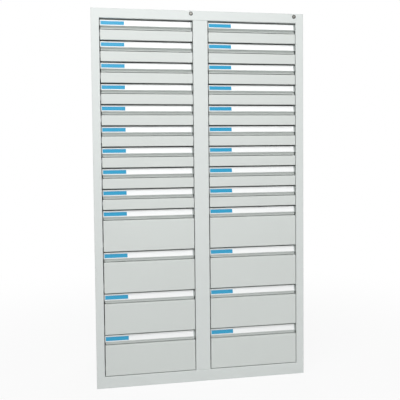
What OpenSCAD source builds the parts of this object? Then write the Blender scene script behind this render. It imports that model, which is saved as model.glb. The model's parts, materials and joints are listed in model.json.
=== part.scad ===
// Free-standing steel parts cabinet: two columns of drawers on roller runners, each
// column locked by one key cylinder that lifts a bar of studs behind its right stile.
// Origin: centre of the base, on the floor. +X right, +Y to the back, +Z up.

/* [Cabinet] */
// Outside width of the cabinet
cabinet_w = 1120; // [1040:10:1300]
// Outside depth of the cabinet, front plane to back panel
cabinet_d = 500; // [460:10:700]
// Thickness of the carcass sheet
sheet_t = 1.5; // [1:0.25:2]
// Radius of the sheet's bends, on the centre line
bend_r = 2.5; // [1.5:0.25:4]
// Width of each outer stile
stile_w = 42; // [38:1:60]
// Width of the stile between the columns
middle_w = 78; // [76:2:120]
// Height of the rail above the drawers
top_rail_h = 49; // [48:1:80]
// Height of the rail below the drawers
bottom_rail_h = 60; // [30:1:120]
// How far the stiles and rails turn back into the cabinet
return_d = 45; // [42:1:60]
// Width of the inward flange that carries the back panel
rear_flange_w = 26; // [15:1:40]
// Gap between the back panel's edge and the sheet around it
panel_gap = 0.3; // [0.1:0.1:1]
// Gap left between pieces that are welded, riveted or clipped together
seam = 0.1; // [0.05:0.05:0.2]

/* [Drawers] */
// Number of shallow drawers in each column, on top
shallow_count = 9; // [1:1:9]
// Number of deep drawers in each column, below the shallow ones
deep_count = 4; // [1:1:4]
// Height of a shallow drawer's place in the column
unit_h = 108; // [104:1:140]
// Height of a deep drawer's place, in shallow ones
deep_units = 2; // [1:1:3]
// Gap between one drawer front and the next
front_gap = 5; // [2:0.5:8]
// Gap between the top rail and the uppermost drawer
top_gap = 7.5; // [4:0.5:10]
// Gap between a drawer front and the stile
side_gap = 3; // [2:0.5:5]
// Thickness of the drawer's sheet
drawer_t = 1.2; // [0.8:0.1:1.5]
// Height of the floor of the drawer above the lower edge of its front
floor_z = 10; // [4:1:12]
// How far the drawer's sides stay below the top of its front
side_drop = 20; // [12:1:24]
// Free space behind the drawers, up to the back panel
rear_space = 22; // [15:1:40]
// Width of the turned-over edge on top of the drawer's sides
hem_w = 4; // [3:0.5:6]
// Depth of the flanges behind the front's lower edge and sides
front_flange = 12; // [8:1:14]

/* [Grip] */
// Height of the finger recess, from the label's lip down to the front's flat panel
recess_h = 20; // [18:0.5:24]
// Depth of the grip profile and of the finger recess's floor
grip_d = 17; // [16:0.5:22]
// Depth of the finger plate's foot behind the front plane
recess_d = 10; // [9:0.5:13]
// How much the recess's floor rises from the panel's edge to its back
recess_rise = 4; // [1:0.5:5]
// Gap between the foot of the finger plate and the recess's floor
plate_gap = 3; // [2:0.5:5]
// Thickness of the finger plate
plate_t = 1.2; // [1:0.1:1.5]
// Length of the sloping label face
label_h = 31; // [26:1:36]
// Lean of the label face from the vertical, in degrees
label_tilt = 16; // [8:1:18]
// Gap between the grip's lip and the front plane
lip_gap = 0.4; // [0.2:0.1:1]
// Radius of the rounded lip that the fingers pull on
lip_r = 2; // [1.5:0.25:2.5]
// How deep the fingers reach up behind the lip
hook_h = 5; // [3:0.5:7]
// Wall of the hollow grip profile
grip_wall = 1.6; // [1.2:0.1:2]
// Depth of the groove that holds the label
groove_d = 1.4; // [1:0.1:1.8]
// Height of the edge that keeps the label in its groove
groove_edge = 1.2; // [0.8:0.1:2]
// Thickness of the profile's left end cap
cap_t = 3; // [2:0.5:4]
// Thickness of the stop at the profile's right end
stop_t = 7; // [4:0.5:10]
// Thickness of the label card
card_t = 0.6; // [0.4:0.1:0.8]
// Play of the card in its groove
card_play = 0.2; // [0.1:0.05:0.3]
// Bare length of the profile to the right of the card
card_end = 2; // [1:1:20]
// Length of the coloured index insert
insert_w = 116; // [60:1:160]
// Height of the index insert
insert_h = 19; // [12:1:22]
// Thickness of the index insert
insert_t = 0.4; // [0.3:0.1:0.5]
// Distance from the profile's left end to the index insert
insert_x = 3; // [1:1:30]

/* [Runners] */
// Space for the runner between the drawer's side and the stile
runner_space = 13; // [12.5:0.5:16]
// Height of the runner's middle above the lower edge of the front
runner_z = 34; // [30:1:34]
// Clear height inside the cabinet's channel
channel_h = 26; // [24:1:28]
// Gap between the channel's flanges and the drawer's rail
channel_gap = 1; // [0.6:0.1:1.5]
// Thickness of the channel and the rail
runner_t = 1.5; // [1.2:0.1:2]
// Running gap between each roller and what it rolls on
roller_gap = 0.3; // [0.2:0.05:0.5]
// Gap between the front roller and the channel below it
roller_foot_gap = 1.3; // [0.8:0.1:2]
// Width of each roller
roller_w = 6; // [5:0.5:6.5]
// Radius of the front roller, on the cabinet
front_roller_r = 10; // [8:0.5:10]
// Distance from the front plane to the front roller's axle
front_roller_y = 28; // [27:1:29]
// Radius of the roller's axle
axle_r = 3; // [2:0.5:4]
// Running clearance of the roller on its axle
axle_gap = 0.05; // [0.02:0.01:0.1]
// Radius of the roller's edge
roller_edge = 0.8; // [0.4:0.1:1.2]

/* [Lock] */
// Radius of the lock's housing
housing_r = 9; // [8:0.5:10]
// Radius of the turning plug
plug_r = 6; // [5:0.25:6]
// Running clearance of the plug in the housing
plug_gap = 0.05; // [0.02:0.01:0.1]
// Length of the housing behind the rail
housing_l = 22; // [16:1:23]
// Distance from the cabinet's top to the lock's axis
lock_down = 15; // [15:1:24]
// Distance from the column's right edge to the lock's axis
lock_in = 10; // [9.5:0.5:12]
// How far the bar lifts to lock the drawers
lock_lift = 12; // [10:1:12]
// Radius of the cam's driving pin
cam_pin_r = 2; // [1.5:0.25:2.5]
// Thickness of the bar and of the cam
bar_t = 2; // [1.5:0.25:3]
// Width of the bar
bar_w = 16; // [12:1:18]
// Radius of the locking studs
stud_r = 3; // [2.5:0.25:3.5]
// Distance from the front plane to the studs
stud_y = 27; // [26:0.5:28]
// Height of an unlocked stud above the lower edge of the front
stud_z = 57; // [54:1:58]
// Play of a stud in its slot
stud_play = 0.3; // [0.2:0.05:0.5]
// Gap between the studs' tips and the drawer's side
stud_tip_gap = 4; // [2:0.5:6]
// Height of the drawer's catch
catch_h = 12; // [8:1:12]

/* [Hidden] */
$fn = 48;
BEND_STEPS = 4;      // flats in one bend
LIP_STEPS = 8;       // flats round the grip's lip
KEY_ARC = 90;        // degrees that the key turns
COUNT = shallow_count + deep_count;
UNITS = shallow_count + deep_count * deep_units;
LEFT = -1;
RIGHT = 1;
SIDES = [LEFT, RIGHT];
OVER = 1;            // how far a cutting body reaches past the sheet

stack_top = bottom_rail_h + UNITS * unit_h;
opening_top = stack_top + top_gap - front_gap / 2;
opening_h = opening_top - bottom_rail_h;
cabinet_h = opening_top + top_rail_h;
column_w = (cabinet_w - 2 * stile_w - middle_w) / 2;
front_y = -cabinet_d / 2;
back_y = cabinet_d / 2;
half_t = sheet_t / 2;

front_w = column_w - 2 * side_gap;
tray_w = column_w - 2 * runner_space;
tray_y0 = grip_d + drawer_t + seam;
tray_y1 = cabinet_d - sheet_t - rear_space;
label_foot = [lip_gap + lip_r * (1 - cos(label_tilt)), -label_h * cos(label_tilt)];
label_back = label_foot[0] + label_h * sin(label_tilt);
lip_centre = label_foot + lip_r * [cos(label_tilt), -sin(label_tilt)];
hook_z = lip_centre[1] - lip_r + hook_h;
panel_drop = lip_r - lip_centre[1] + recess_h;
recess_foot = recess_rise * recess_d / grip_d + drawer_t / 2 - panel_drop;
profile_w = front_w - cap_t - stop_t - 2 * seam;
profile_x0 = cap_t + seam - front_w / 2;
front_weld_h = 20;   // part of the front that is turned down on the tray's front wall
crossbar_up = 3;     // crossbar's lower edge above the finger plate's foot

// Runner sections, measured outwards from the drawer's side
channel_x = runner_space - runner_t;
channel_lip_x = runner_t + seam + channel_gap;
front_roller_drop = channel_h / 2 - front_roller_r - roller_foot_gap;
rail_flange_z = front_roller_r + roller_gap - front_roller_drop;
rail_web_h = 7;      // how far the rail's web reaches below its middle
rail_bend_r = 1.2;
drawer_bend_r = 1.6;
channel_ends = [2, 10];  // channel in front of its roller and behind the shut drawer
roller_out = 3;      // how far the rear roller reaches past the drawer's back
rail_gap = 3;        // gap between the rail's flange and the rear roller
rear_roller_r = channel_h / 2 - roller_gap;
channel_y0 = front_roller_y - front_roller_r - channel_ends[0];
channel_y1 = tray_y1 + channel_ends[1];
rear_roller_y = tray_y1 - rear_roller_r + roller_out;
rail_end_y = rear_roller_y - rear_roller_r - rail_gap;
roller_x = channel_x - channel_gap - roller_w;

// Lock, measured from the column's right edge outwards
lock_z = cabinet_h - lock_down;
bar_gap = 1.5;       // free space round the bar
window_gap = 2;      // free space round the cam and the lug in their window
bar_foot = 8;        // bar below the middle of its lowest stud
lug_h = 12;          // height of the bar's lug
lug_edge = 2;        // lug beyond its slot
pin_play = 0.6;      // play of the cam's pin in the lug's slot
cam_gap = 1;         // gap between the housing and the cam
cam_rim = 1;         // cam round its pin
hub_step = 0.5;      // cam's hub inside the plug's edge
plug_proud = 1;      // plug in front of the rail
key_slot = [1.8, 7.8, 4];  // width, height and depth
flange_w = 1;        // housing's flange round its barrel
flange_t = 1.6;
flange_edge = 0.6;
bar_x = sheet_t + bar_gap;
slot_r = stud_r + stud_play;
cam_r = lock_lift / (2 * sin(KEY_ARC / 2));
cam_y = housing_l + sheet_t + cam_gap;
cam_pin_l = 3 * bar_t;
lug_y = cam_y + 2 * bar_t;
cam_pin_at = [-lock_in + cam_r * cos(KEY_ARC / 2), -cam_r * sin(KEY_ARC / 2)];
lug_slot = [cam_pin_at[0] - cam_pin_r - pin_play, cam_r - lock_in + cam_pin_r + pin_play];
lug_z = lock_z + cam_pin_at[1] - lug_h / 2;
stud_tip = stud_tip_gap - runner_space;
catch_gap = 1;
catch_l = 20;        // length of the catch's tab along the drawer
catch_z = stud_z + stud_r + lock_lift / 3;
catch_y = stud_y + stud_r + catch_gap;

GREY = [0.86, 0.88, 0.87];
WHITE = [0.98, 0.98, 0.98];
BLUE = [0.15, 0.60, 0.84];
ZINC = [0.70, 0.72, 0.74];
CHROME = [0.82, 0.83, 0.85];
PLASTIC = [0.93, 0.93, 0.91];

function two(i) = i < 10 ? str("0", i) : str(i);
function side_name(side) = side == LEFT ? "left" : "right";
function drawer_name(side, i) = str("drawer_", side_name(side), "_", two(i));
function grip_name(side, i) = str("grip_", side_name(side), "_", two(i));

// Places ------------------------------------------------------------------------

function column_x(side) = side * (middle_w + column_w) / 2;
function units_of(i) = i <= shallow_count ? 1 : deep_units;
function units_above(i) = min(i - 1, shallow_count)
    + max(0, i - 1 - shallow_count) * deep_units;
function front_h(i) = units_of(i) * unit_h - front_gap;
function front_z(i) = stack_top - (units_above(i) + units_of(i)) * unit_h + front_gap / 2;

// Middle of the lower edge of drawer i's front
module at_drawer(side, i)
    translate([column_x(side), front_y, front_z(i)]) children();

// Right edge of a column's opening, on the front plane at floor level
module at_right_edge(side)
    translate([column_x(side) + column_w / 2, front_y, 0]) children();

// A piece and its mirror image, on both sides of the drawer
module on_both_sides() {
    children();
    mirror([1, 0, 0]) children();
}

// Extrude a section drawn as (depth, height) along X, centred
module along_x(length)
    translate([-length / 2, 0, 0]) rotate([90, 0, 90]) linear_extrude(length) children();

// Extrude a section drawn as (width, height) along Y, from y0 to y1
module along_y(y0, y1)
    translate([0, y1, 0]) rotate([90, 0, 0]) linear_extrude(y1 - y0) children();

// Folded sheet ------------------------------------------------------------------

function heading(path, k) = let (d = path[k + 1] - path[k]) atan2(d[1], d[0]);
function unit(a) = [cos(a), sin(a)];
function leftward(a) = [-sin(a), cos(a)];
function turn(a) = a > 180 ? a - 360 : a < -180 ? a + 360 : a;

// Points along one bend of the centre line, each with its heading
function bend(corner, a, w, r) =
    let (s = sign(w), centre = corner - unit(a) * r * tan(abs(w) / 2) + leftward(a) * s * r)
    [for (j = [0 : BEND_STEPS])
        let (h = a + w * j / BEND_STEPS) [centre - leftward(h) * s * r, h]];

// Centre line of a sheet folded along a path of corners
function fold_line(path, r) =
    let (last = len(path) - 1)
    concat(
        [[path[0], heading(path, 0)]],
        [for (k = [1 : 1 : last - 1])
            each bend(path[k], heading(path, k - 1),
                      turn(heading(path, k) - heading(path, k - 1)), r)],
        [[path[last], heading(path, last - 1)]]
    );

module folded_sheet(path, t, r = bend_r) {
    line = fold_line(path, r);
    last = len(line) - 1;
    polygon(concat(
        [for (p = line) p[0] + leftward(p[1]) * t / 2],
        [for (k = [last : -1 : 0]) line[k][0] - leftward(line[k][1]) * t / 2]
    ));
}

// Carcass -----------------------------------------------------------------------

// Plan of one side sheet: return flange, stile, side and rear flange, as
// (distance outwards from the opening's edge, depth)
module side_section()
    folded_sheet([
        [half_t, return_d], [half_t, half_t], [stile_w - half_t, half_t],
        [stile_w - half_t, cabinet_d - 1.5 * sheet_t],
        [stile_w - rear_flange_w, cabinet_d - 1.5 * sheet_t]
    ], sheet_t);

// Upright channel behind a stile, which carries the runners' rear ends
module rear_post_section() {
    x = stile_w - sheet_t - bend_r;
    y = cabinet_d - 2.5 * sheet_t - seam;
    folded_sheet([[x, y - return_d], [half_t, y - return_d], [half_t, y], [x, y]], sheet_t);
}

// Slots for the locking studs, through the return flange at the opening's right edge
module stud_slots()
    for (i = [1 : COUNT])
        translate([-OVER, stud_y, front_z(i) + stud_z])
            rotate([90, 0, 90])
                linear_extrude(sheet_t + 2 * OVER) {
                    circle(slot_r);
                    translate([-slot_r, 0]) square([2 * slot_r, lock_lift + stud_play]);
                    translate([0, lock_lift + stud_play]) circle(slot_r);
                }

// Opening in the right stile's return flange for the cam and the bar's lug
module cam_window() {
    y0 = stud_y - bar_w / 2 - window_gap;
    translate([-OVER, y0, lock_z - 2 * lock_lift])
        cube([sheet_t + 2 * OVER, lug_y + bar_t + window_gap - y0, 4 * lock_lift]);
}

module side_panel()
    translate([cabinet_w / 2 - stile_w, front_y, sheet_t + seam])
        linear_extrude(cabinet_h - 2 * sheet_t - 2 * seam) {
            side_section();
            rear_post_section();
        }

// Rail folded down from the top sheet or up from the base sheet, with its return
module rail(height)
    along_x(cabinet_w - 2 * stile_w - 2 * seam)
        folded_sheet([
            [sheet_t + 2 * bend_r, half_t], [half_t, half_t],
            [half_t, height - half_t], [return_d, height - half_t]
        ], sheet_t);

module cover_sheet()
    translate([-cabinet_w / 2, 0, 0]) cube([cabinet_w, cabinet_d, sheet_t]);

module top_panel()
    translate([0, front_y, cabinet_h])
        mirror([0, 0, 1]) {
            cover_sheet();
            rail(top_rail_h);
        }

module base_panel()
    translate([0, front_y, 0]) {
        cover_sheet();
        rail(bottom_rail_h);
    }

// Way for the left lock bar through the top rail's return flange
module bar_window()
    at_right_edge(LEFT)
        translate([bar_x - bar_gap, stud_y - bar_w / 2 - bar_gap, opening_top - OVER])
            cube([bar_t + 2 * bar_gap, bar_w + 2 * bar_gap, sheet_t + 2 * OVER]);

module lock_hole(side, r)
    at_right_edge(side)
        translate([-lock_in, -OVER, lock_z])
            rotate([-90, 0, 0]) cylinder(r = r, h = sheet_t + 2 * OVER);

// Fixed barrel of a lock, with a flange in front of the rail
module lock_housing(side) {
    bore_r = plug_r + plug_gap;
    flange_r = housing_r + flange_w;
    at_right_edge(side)
        translate([-lock_in, 0, lock_z])
            rotate([90, 0, 0])
                rotate_extrude()
                    polygon([
                        [bore_r, -sheet_t - housing_l], [housing_r, -sheet_t - housing_l],
                        [housing_r, seam], [flange_r, seam], [flange_r, flange_t - flange_edge],
                        [flange_r - flange_edge, flange_t], [bore_r, flange_t]
                    ]);
}

module carcass() {
    color(GREY) {
        mirror([1, 0, 0]) side_panel();
        difference() {
            side_panel();
            at_right_edge(RIGHT) {
                stud_slots();
                cam_window();
            }
        }
        base_panel();
        difference() {
            top_panel();
            bar_window();
            for (side = SIDES) lock_hole(side, housing_r + seam);
        }
    }
    color(CHROME) for (side = SIDES) lock_housing(side);
}

module middle_partition() color(GREY) {
    half_w = middle_w / 2 - half_t;
    difference() {
        translate([0, front_y, bottom_rail_h])
            linear_extrude(opening_h)
                folded_sheet([
                    [-half_w, return_d], [-half_w, half_t], [half_w, half_t], [half_w, return_d]
                ], sheet_t);
        at_right_edge(LEFT) stud_slots();
    }
    translate([-half_t, front_y + sheet_t + seam, bottom_rail_h])
        cube([sheet_t, cabinet_d - 3 * sheet_t - 2 * seam, opening_h]);
    translate([0, back_y - sheet_t, sheet_t])
        linear_extrude(cabinet_h - 2 * sheet_t)
            folded_sheet([
                [-half_w, -return_d], [-half_w, -half_t], [half_w, -half_t], [half_w, -return_d]
            ], sheet_t);
}

module back_panel() color(GREY) {
    inset = sheet_t + panel_gap;
    translate([-cabinet_w / 2 + inset, back_y - sheet_t, inset])
        cube([cabinet_w - 2 * inset, sheet_t, cabinet_h - 2 * inset]);
}

// Runners -----------------------------------------------------------------------

// A turned roller with rounded edges, its axis along X from x = 0
module roller(r)
    rotate([0, 90, 0])
        rotate_extrude()
            polygon([
                [axle_r + axle_gap, 0], [r - roller_edge, 0], [r, roller_edge],
                [r, roller_w - roller_edge], [r - roller_edge, roller_w],
                [axle_r + axle_gap, roller_w]
            ]);

module axle(length)
    rotate([0, 90, 0]) cylinder(r = axle_r, h = length);

// Channel on the stile and the rear post, with its roller in front
module runner_channel() {
    z = channel_h / 2 + runner_t / 2;
    x = runner_space - runner_t / 2;
    color(ZINC) {
        along_y(channel_y0, channel_y1)
            folded_sheet([[channel_lip_x, -z], [x, -z], [x, z], [channel_lip_x, z]], runner_t);
        translate([roller_x, front_roller_y, -front_roller_drop])
            axle(channel_x - roller_x + runner_t / 2);
    }
    color(PLASTIC)
        translate([roller_x, front_roller_y, -front_roller_drop]) roller(front_roller_r);
}

module runner_channels()
    for (side = SIDES, i = [1 : COUNT])
        at_drawer(side, i)
            on_both_sides()
                translate([tray_w / 2, 0, runner_z]) runner_channel();

// Rail on the drawer's side, which rolls on the front roller, and its rear roller
module drawer_rail() {
    flange_z = rail_flange_z + runner_t / 2;
    x = runner_t / 2 + seam;
    color(ZINC) {
        along_y(tray_y0, rail_end_y)
            folded_sheet([
                [x, -rail_web_h], [x, flange_z], [channel_x - channel_gap, flange_z]
            ], runner_t, rail_bend_r);
        translate([seam, rail_end_y, -rail_web_h])
            cube([runner_t, tray_y1 - rail_end_y, 2 * rail_web_h]);
        translate([x, rear_roller_y, 0]) axle(roller_x + roller_w - x);
    }
    color(PLASTIC) translate([roller_x, rear_roller_y, 0]) roller(rear_roller_r);
}

// Drawers -----------------------------------------------------------------------

// Section of the drawer's tray: floor and sides, with the sides' top edges turned over
module tray_section(h) {
    x = tray_w / 2 - drawer_t / 2;
    z0 = floor_z + drawer_t / 2;
    z1 = h - side_drop;
    folded_sheet([
        [-x + hem_w, z1], [-x, z1], [-x, z0], [x, z0], [x, z1], [x - hem_w, z1]
    ], drawer_t, drawer_bend_r);
}

// The front wall ends at the panel's edge, the rear wall at the sides' edges
module tray(h) {
    along_y(tray_y0, tray_y1) tray_section(h);
    for (wall = [[tray_y0, h - panel_drop], [tray_y1 - drawer_t, h - side_drop]])
        translate([-tray_w / 2 + drawer_t / 2, wall[0], floor_z + drawer_t / 2])
            cube([tray_w - drawer_t, drawer_t, wall[1] - floor_z - drawer_t]);
}

// Angle on the drawer's right side that the raised stud stops
module lock_catch() {
    half = drawer_t / 2;
    translate([tray_w / 2 + seam, catch_y, catch_z])
        linear_extrude(catch_h)
            folded_sheet([
                [runner_space - side_gap - seam, half], [half, half], [half, catch_l]
            ], drawer_t, drawer_bend_r);
}

// Folded front: lower flange, panel, floor of the finger recess, and the part that is
// turned down on the tray's front wall
module front_section(h)
    folded_sheet([
        [front_flange, drawer_t / 2], [drawer_t / 2, drawer_t / 2],
        [drawer_t / 2, h - panel_drop], [grip_d + drawer_t / 2, h - panel_drop + recess_rise],
        [grip_d + drawer_t / 2, h - panel_drop + recess_rise - front_weld_h]
    ], drawer_t, drawer_bend_r);

// Behind the panel's upper edge the sheet is notched at both ends, to the tray's width
module drawer_front(h) {
    notch_w = (front_w - tray_w) / 2;
    difference() {
        along_x(front_w) front_section(h);
        on_both_sides()
            translate([tray_w / 2, drawer_t + drawer_bend_r, front_flange])
                cube([notch_w + OVER, grip_d, h]);
    }
    on_both_sides()
        translate([front_w / 2 - drawer_t, drawer_t / 2, drawer_t / 2])
            cube([drawer_t, front_flange, h - panel_drop - drawer_t]);
}

// Angle across the fronts of the tray's sides, which carries the grip
module crossbar(h)
    along_x(tray_w)
        folded_sheet([
            [grip_d + drawer_t / 2, h + recess_foot + plate_gap + crossbar_up],
            [grip_d + drawer_t / 2, h - drawer_t / 2],
            [grip_d + front_flange, h - drawer_t / 2]
        ], drawer_t, drawer_bend_r);

module drawer(side, i) at_drawer(side, i) {
    color(GREY) {
        tray(front_h(i));
        lock_catch();
        drawer_front(front_h(i));
        crossbar(front_h(i));
    }
    on_both_sides() translate([tray_w / 2, 0, runner_z]) drawer_rail();
}

// Grip --------------------------------------------------------------------------

// The grip's section is drawn as (depth, height) with height 0 at the front's top
// Point on the label face, s up from its foot and d into the profile
function on_face(s, d) = label_foot
    + s * [sin(label_tilt), cos(label_tilt)] + d * [cos(label_tilt), -sin(label_tilt)];

// Depth of the plane d behind the label face, at height z
function depth_at(z, d) = let (p = on_face(0, d)) p[0] + (z - p[1]) * tan(label_tilt);

function lip_arc() = [for (j = [0 : LIP_STEPS])
    let (a = 180 - label_tilt + (180 + label_tilt) * j / LIP_STEPS)
    lip_centre + lip_r * [cos(a), sin(a)]];

function grip_rear() = [
    [lip_centre[0] + lip_r, hook_z], [grip_d, hook_z], [grip_d, 0], [label_back, 0]
];

module grip_outline() polygon(concat(lip_arc(), grip_rear()));

// Hollow extrusion with the label's groove in its face
module grip_section() {
    deep = groove_d + grip_wall;
    difference() {
        polygon(concat(
            lip_arc(), grip_rear(),
            [on_face(label_h - groove_edge, 0), on_face(label_h - groove_edge, groove_d),
             on_face(groove_edge, groove_d), on_face(groove_edge, 0)]
        ));
        polygon([
            [grip_d - grip_wall, -grip_wall], [depth_at(-grip_wall, deep), -grip_wall],
            [depth_at(hook_z + grip_wall, deep), hook_z + grip_wall],
            [grip_d - grip_wall, hook_z + grip_wall]
        ]);
    }
}

// Plate standing in the label's groove: its left end, length, height, depth and thickness
module in_groove(x0, length, height, d0, t) {
    s0 = groove_edge + card_play;
    translate([x0 + length / 2, 0, 0])
        along_x(length)
            polygon([
                on_face(s0, d0), on_face(s0, d0 + t),
                on_face(s0 + height, d0 + t), on_face(s0 + height, d0)
            ]);
}

// Plate behind the fingers: it hangs from the profile and leans forward to its foot
module finger_plate_section() {
    top = [grip_d - seam - plate_t, hook_z - seam];
    foot = [recess_d, recess_foot + plate_gap];
    polygon([top, foot, foot + [plate_t, 0], top + [plate_t, 0]]);
}

module end_cap(x, t) translate([x + t / 2, 0, 0]) along_x(t) grip_outline();

module grip(side, i) at_drawer(side, i) translate([0, 0, front_h(i)]) {
    card_d = groove_d - seam - card_t;
    color(GREY) {
        translate([profile_x0 + profile_w / 2, 0, 0]) along_x(profile_w) grip_section();
        along_x(tray_w) finger_plate_section();
        end_cap(-front_w / 2, cap_t);
        end_cap(front_w / 2 - stop_t, stop_t);
    }
    color(WHITE)
        in_groove(profile_x0 + card_play, profile_w - card_end - card_play,
                  label_h - 2 * groove_edge - 2 * card_play, card_d, card_t);
    color(BLUE)
        in_groove(profile_x0 + insert_x, insert_w, insert_h, card_d - seam - insert_t, insert_t);
}

// Locks -------------------------------------------------------------------------

// Turning plug with its key slot, and the cam with its driving pin
module lock_cylinder(side) color(CHROME)
    at_right_edge(side)
        translate([-lock_in, 0, lock_z]) {
            rotate([-90, 0, 0])
                difference() {
                    translate([0, 0, -plug_proud]) cylinder(r = plug_r, h = cam_y + plug_proud);
                    translate([-key_slot[0] / 2, -key_slot[1] / 2, -plug_proud - OVER])
                        cube([key_slot[0], key_slot[1], key_slot[2] + OVER]);
                }
            translate([0, cam_y + bar_t, 0])
                rotate([90, KEY_ARC / 2, 0])
                    linear_extrude(bar_t) {
                        circle(plug_r - hub_step);
                        translate([0, -cam_pin_r - cam_rim])
                            square([cam_r, 2 * (cam_pin_r + cam_rim)]);
                        translate([cam_r, 0]) circle(cam_pin_r + cam_rim);
                    }
            translate([cam_pin_at[0] + lock_in, cam_y + bar_t, cam_pin_at[1]])
                rotate([-90, 0, 0]) cylinder(r = cam_pin_r, h = cam_pin_l);
        }

// Bar that slides inside the stile
module lock_bar_strip() {
    foot_z = front_z(COUNT) + stud_z - bar_foot;
    translate([bar_x, stud_y - bar_w / 2, foot_z])
        cube([bar_t, bar_w, lug_z + lug_h - foot_z]);
}

// Lug welded to the bar, with the slot for the cam's pin
module lock_lug() {
    x0 = lug_slot[0] - lug_edge;
    slot_h = 2 * (cam_pin_r + pin_play);
    difference() {
        translate([x0, lug_y, lug_z]) cube([bar_x - seam - x0, bar_t, lug_h]);
        translate([lug_slot[0], lug_y - OVER, lug_z + (lug_h - slot_h) / 2])
            cube([lug_slot[1] - lug_slot[0], bar_t + 2 * OVER, slot_h]);
    }
}

module lock_bar(side) color(ZINC)
    at_right_edge(side) {
        lock_bar_strip();
        lock_lug();
        for (i = [1 : COUNT])
            translate([stud_tip, stud_y, front_z(i) + stud_z])
                rotate([0, 90, 0]) cylinder(r = stud_r, h = bar_x - stud_tip - seam);
    }

// Assembly ----------------------------------------------------------------------

carcass();
middle_partition();
back_panel();
runner_channels();
lock_cylinder(LEFT);  // lock_cylinder_left
lock_cylinder(RIGHT);  // lock_cylinder_right
lock_bar(LEFT);  // lock_bar_left
lock_bar(RIGHT);  // lock_bar_right
for (side = SIDES, i = [1 : COUNT]) {
    drawer(side, i);
    grip(side, i);
}
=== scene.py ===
# %% [markdown]
# # A steel parts cabinet
# The real cabinet is folded from thin steel sheet: a carcass, a middle partition and 26 drawers
# that roll on channels. The frame holds every body at its true place. This lesson dresses the
# frame: it bends the drawers' sheet, makes the grips and labels, and gives each surface its
# finish. A finished piece sits at the origin with its place in its mesh, so it rides on its body.

# %% Load the frame
import json
import math

import bmesh
import bpy
from mathutils import Euler, Matrix, Vector


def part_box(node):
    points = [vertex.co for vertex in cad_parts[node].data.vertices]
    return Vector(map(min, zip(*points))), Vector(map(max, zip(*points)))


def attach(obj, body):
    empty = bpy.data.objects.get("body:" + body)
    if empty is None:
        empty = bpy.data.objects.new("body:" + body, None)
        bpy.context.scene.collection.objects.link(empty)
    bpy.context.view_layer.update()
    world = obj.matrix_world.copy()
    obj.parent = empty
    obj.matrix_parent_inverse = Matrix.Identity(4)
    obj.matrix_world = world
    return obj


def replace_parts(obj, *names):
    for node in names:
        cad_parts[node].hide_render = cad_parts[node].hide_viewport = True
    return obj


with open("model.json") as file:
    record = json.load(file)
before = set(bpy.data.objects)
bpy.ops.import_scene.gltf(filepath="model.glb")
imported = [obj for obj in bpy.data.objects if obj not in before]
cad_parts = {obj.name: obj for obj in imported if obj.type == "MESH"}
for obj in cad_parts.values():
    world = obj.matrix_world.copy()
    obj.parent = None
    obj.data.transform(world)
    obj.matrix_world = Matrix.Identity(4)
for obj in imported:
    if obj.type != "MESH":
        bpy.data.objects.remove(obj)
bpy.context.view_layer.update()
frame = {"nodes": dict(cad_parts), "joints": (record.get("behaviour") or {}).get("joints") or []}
DRAWERS = sorted(n.removeprefix("drawer_") for n in frame["nodes"] if n.startswith("drawer_"))
print(len(frame["nodes"]), "CAD nodes,", len(DRAWERS), "drawers")

# %% [markdown]
# ## Sizes
# Sheet metal is drawn in millimetres, as in a workshop, and turned to metres when a mesh is made.
# What the frame already knows, such as where a front begins and how tall it is, is read from it,
# so that a drawer of another height needs no new number here.

# %% Sizes of the sheet and the drawer, in millimetres
MM = 0.001

sheet_t = 1.2                     # drawer sheet
bend_r = 1.6                      # its bends, on the centre line
floor_z = 10                      # drawer floor above the front's lower edge
side_drop = 20                    # drawer side below the front's top
hem_w = 4                         # edge turned over on the sides
tray_y1 = 476.5                   # rear end of the tray behind the front plane
mark_r, mark_rise = 3, 0.25       # weld marks on the sides
mark_y0, mark_y1, mark_step = 60, 460, 65   # from front to rear
mark_dz = 4                       # two rows, above and below the runner's middle

front_flange = 12                 # flange behind the front's edges
sheet_inset = 1.2                 # front sheet's sides and lower edge inside the clear size
recess_h = 20                     # finger recess below the lip
recess_rise = 4                   # how much its floor rises to the back
weld_h = 20                       # part of the front turned down on the tray
print("drawer sheet", sheet_t, "mm thick, bent to", bend_r, "mm")

# %% Sizes of the grip and the label, in millimetres
grip_d = 17                       # depth of the grip
label_h = 31                      # sloping face of the grip
label_tilt = math.radians(16)     # how far that face leans back
seam, play = 0.1, 0.2             # gap between fixed pieces, play of the card
lip_gap, lip_r = 0.4, 2           # lip behind the front plane, and its radius
hook_h = 5                        # room for the fingertips behind the lip
plate_t = 1.2                     # finger plate behind the lip
plate_d = 10                      # depth of the plate's foot
plate_gap = 3                     # slot between the plate's foot and the recess's floor
crossbar_up = 3                   # crossbar's edge above the plate's foot
groove_d, groove_edge = 1.4, 0.8  # label groove, and the lips that hold the card
cap_t, stop_t = 3, 7              # end cap on the left, stop on the right
card_t, card_end = 0.6, 2         # card, and the bare profile to its right
insert_w, insert_h, insert_t = 118, 20, 0.4
insert_x, insert_up = 1, 3        # its place from the profile's left end and up the card
profile_bevel, plate_bevel, cap_bevel = 0.25, 0.2, 0.5
print("label face", label_h, "mm high, insert", insert_w, "by", insert_h, "mm")

# %% Sizes of the runners, the lock's catch and the carcass, in millimetres
runner_t = 1.5                    # channels and rails
runner_space = 13                 # drawer side to the opening's edge
runner_z = 34                     # middle of the runner above the front's lower edge
channel_h, channel_gap = 26, 1    # channel, and its play beside the rollers
channel_front, channel_rear = 2, 10     # channel beyond the front roller and beyond the tray
channel_bend_r, rail_bend_r = 2.5, 1.2
rail_flange_z, rail_web_h = 8.6, 7      # rail above and below the runner's middle
rail_clear = 3                    # rail's end to the rear roller
roller_w, roller_edge = 6, 0.8
axle_r = 3
front_roller_r, front_roller_y, front_roller_drop = 10, 28, 1.7
rear_roller_r, rear_roller_back = 12.7, 9.7

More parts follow.
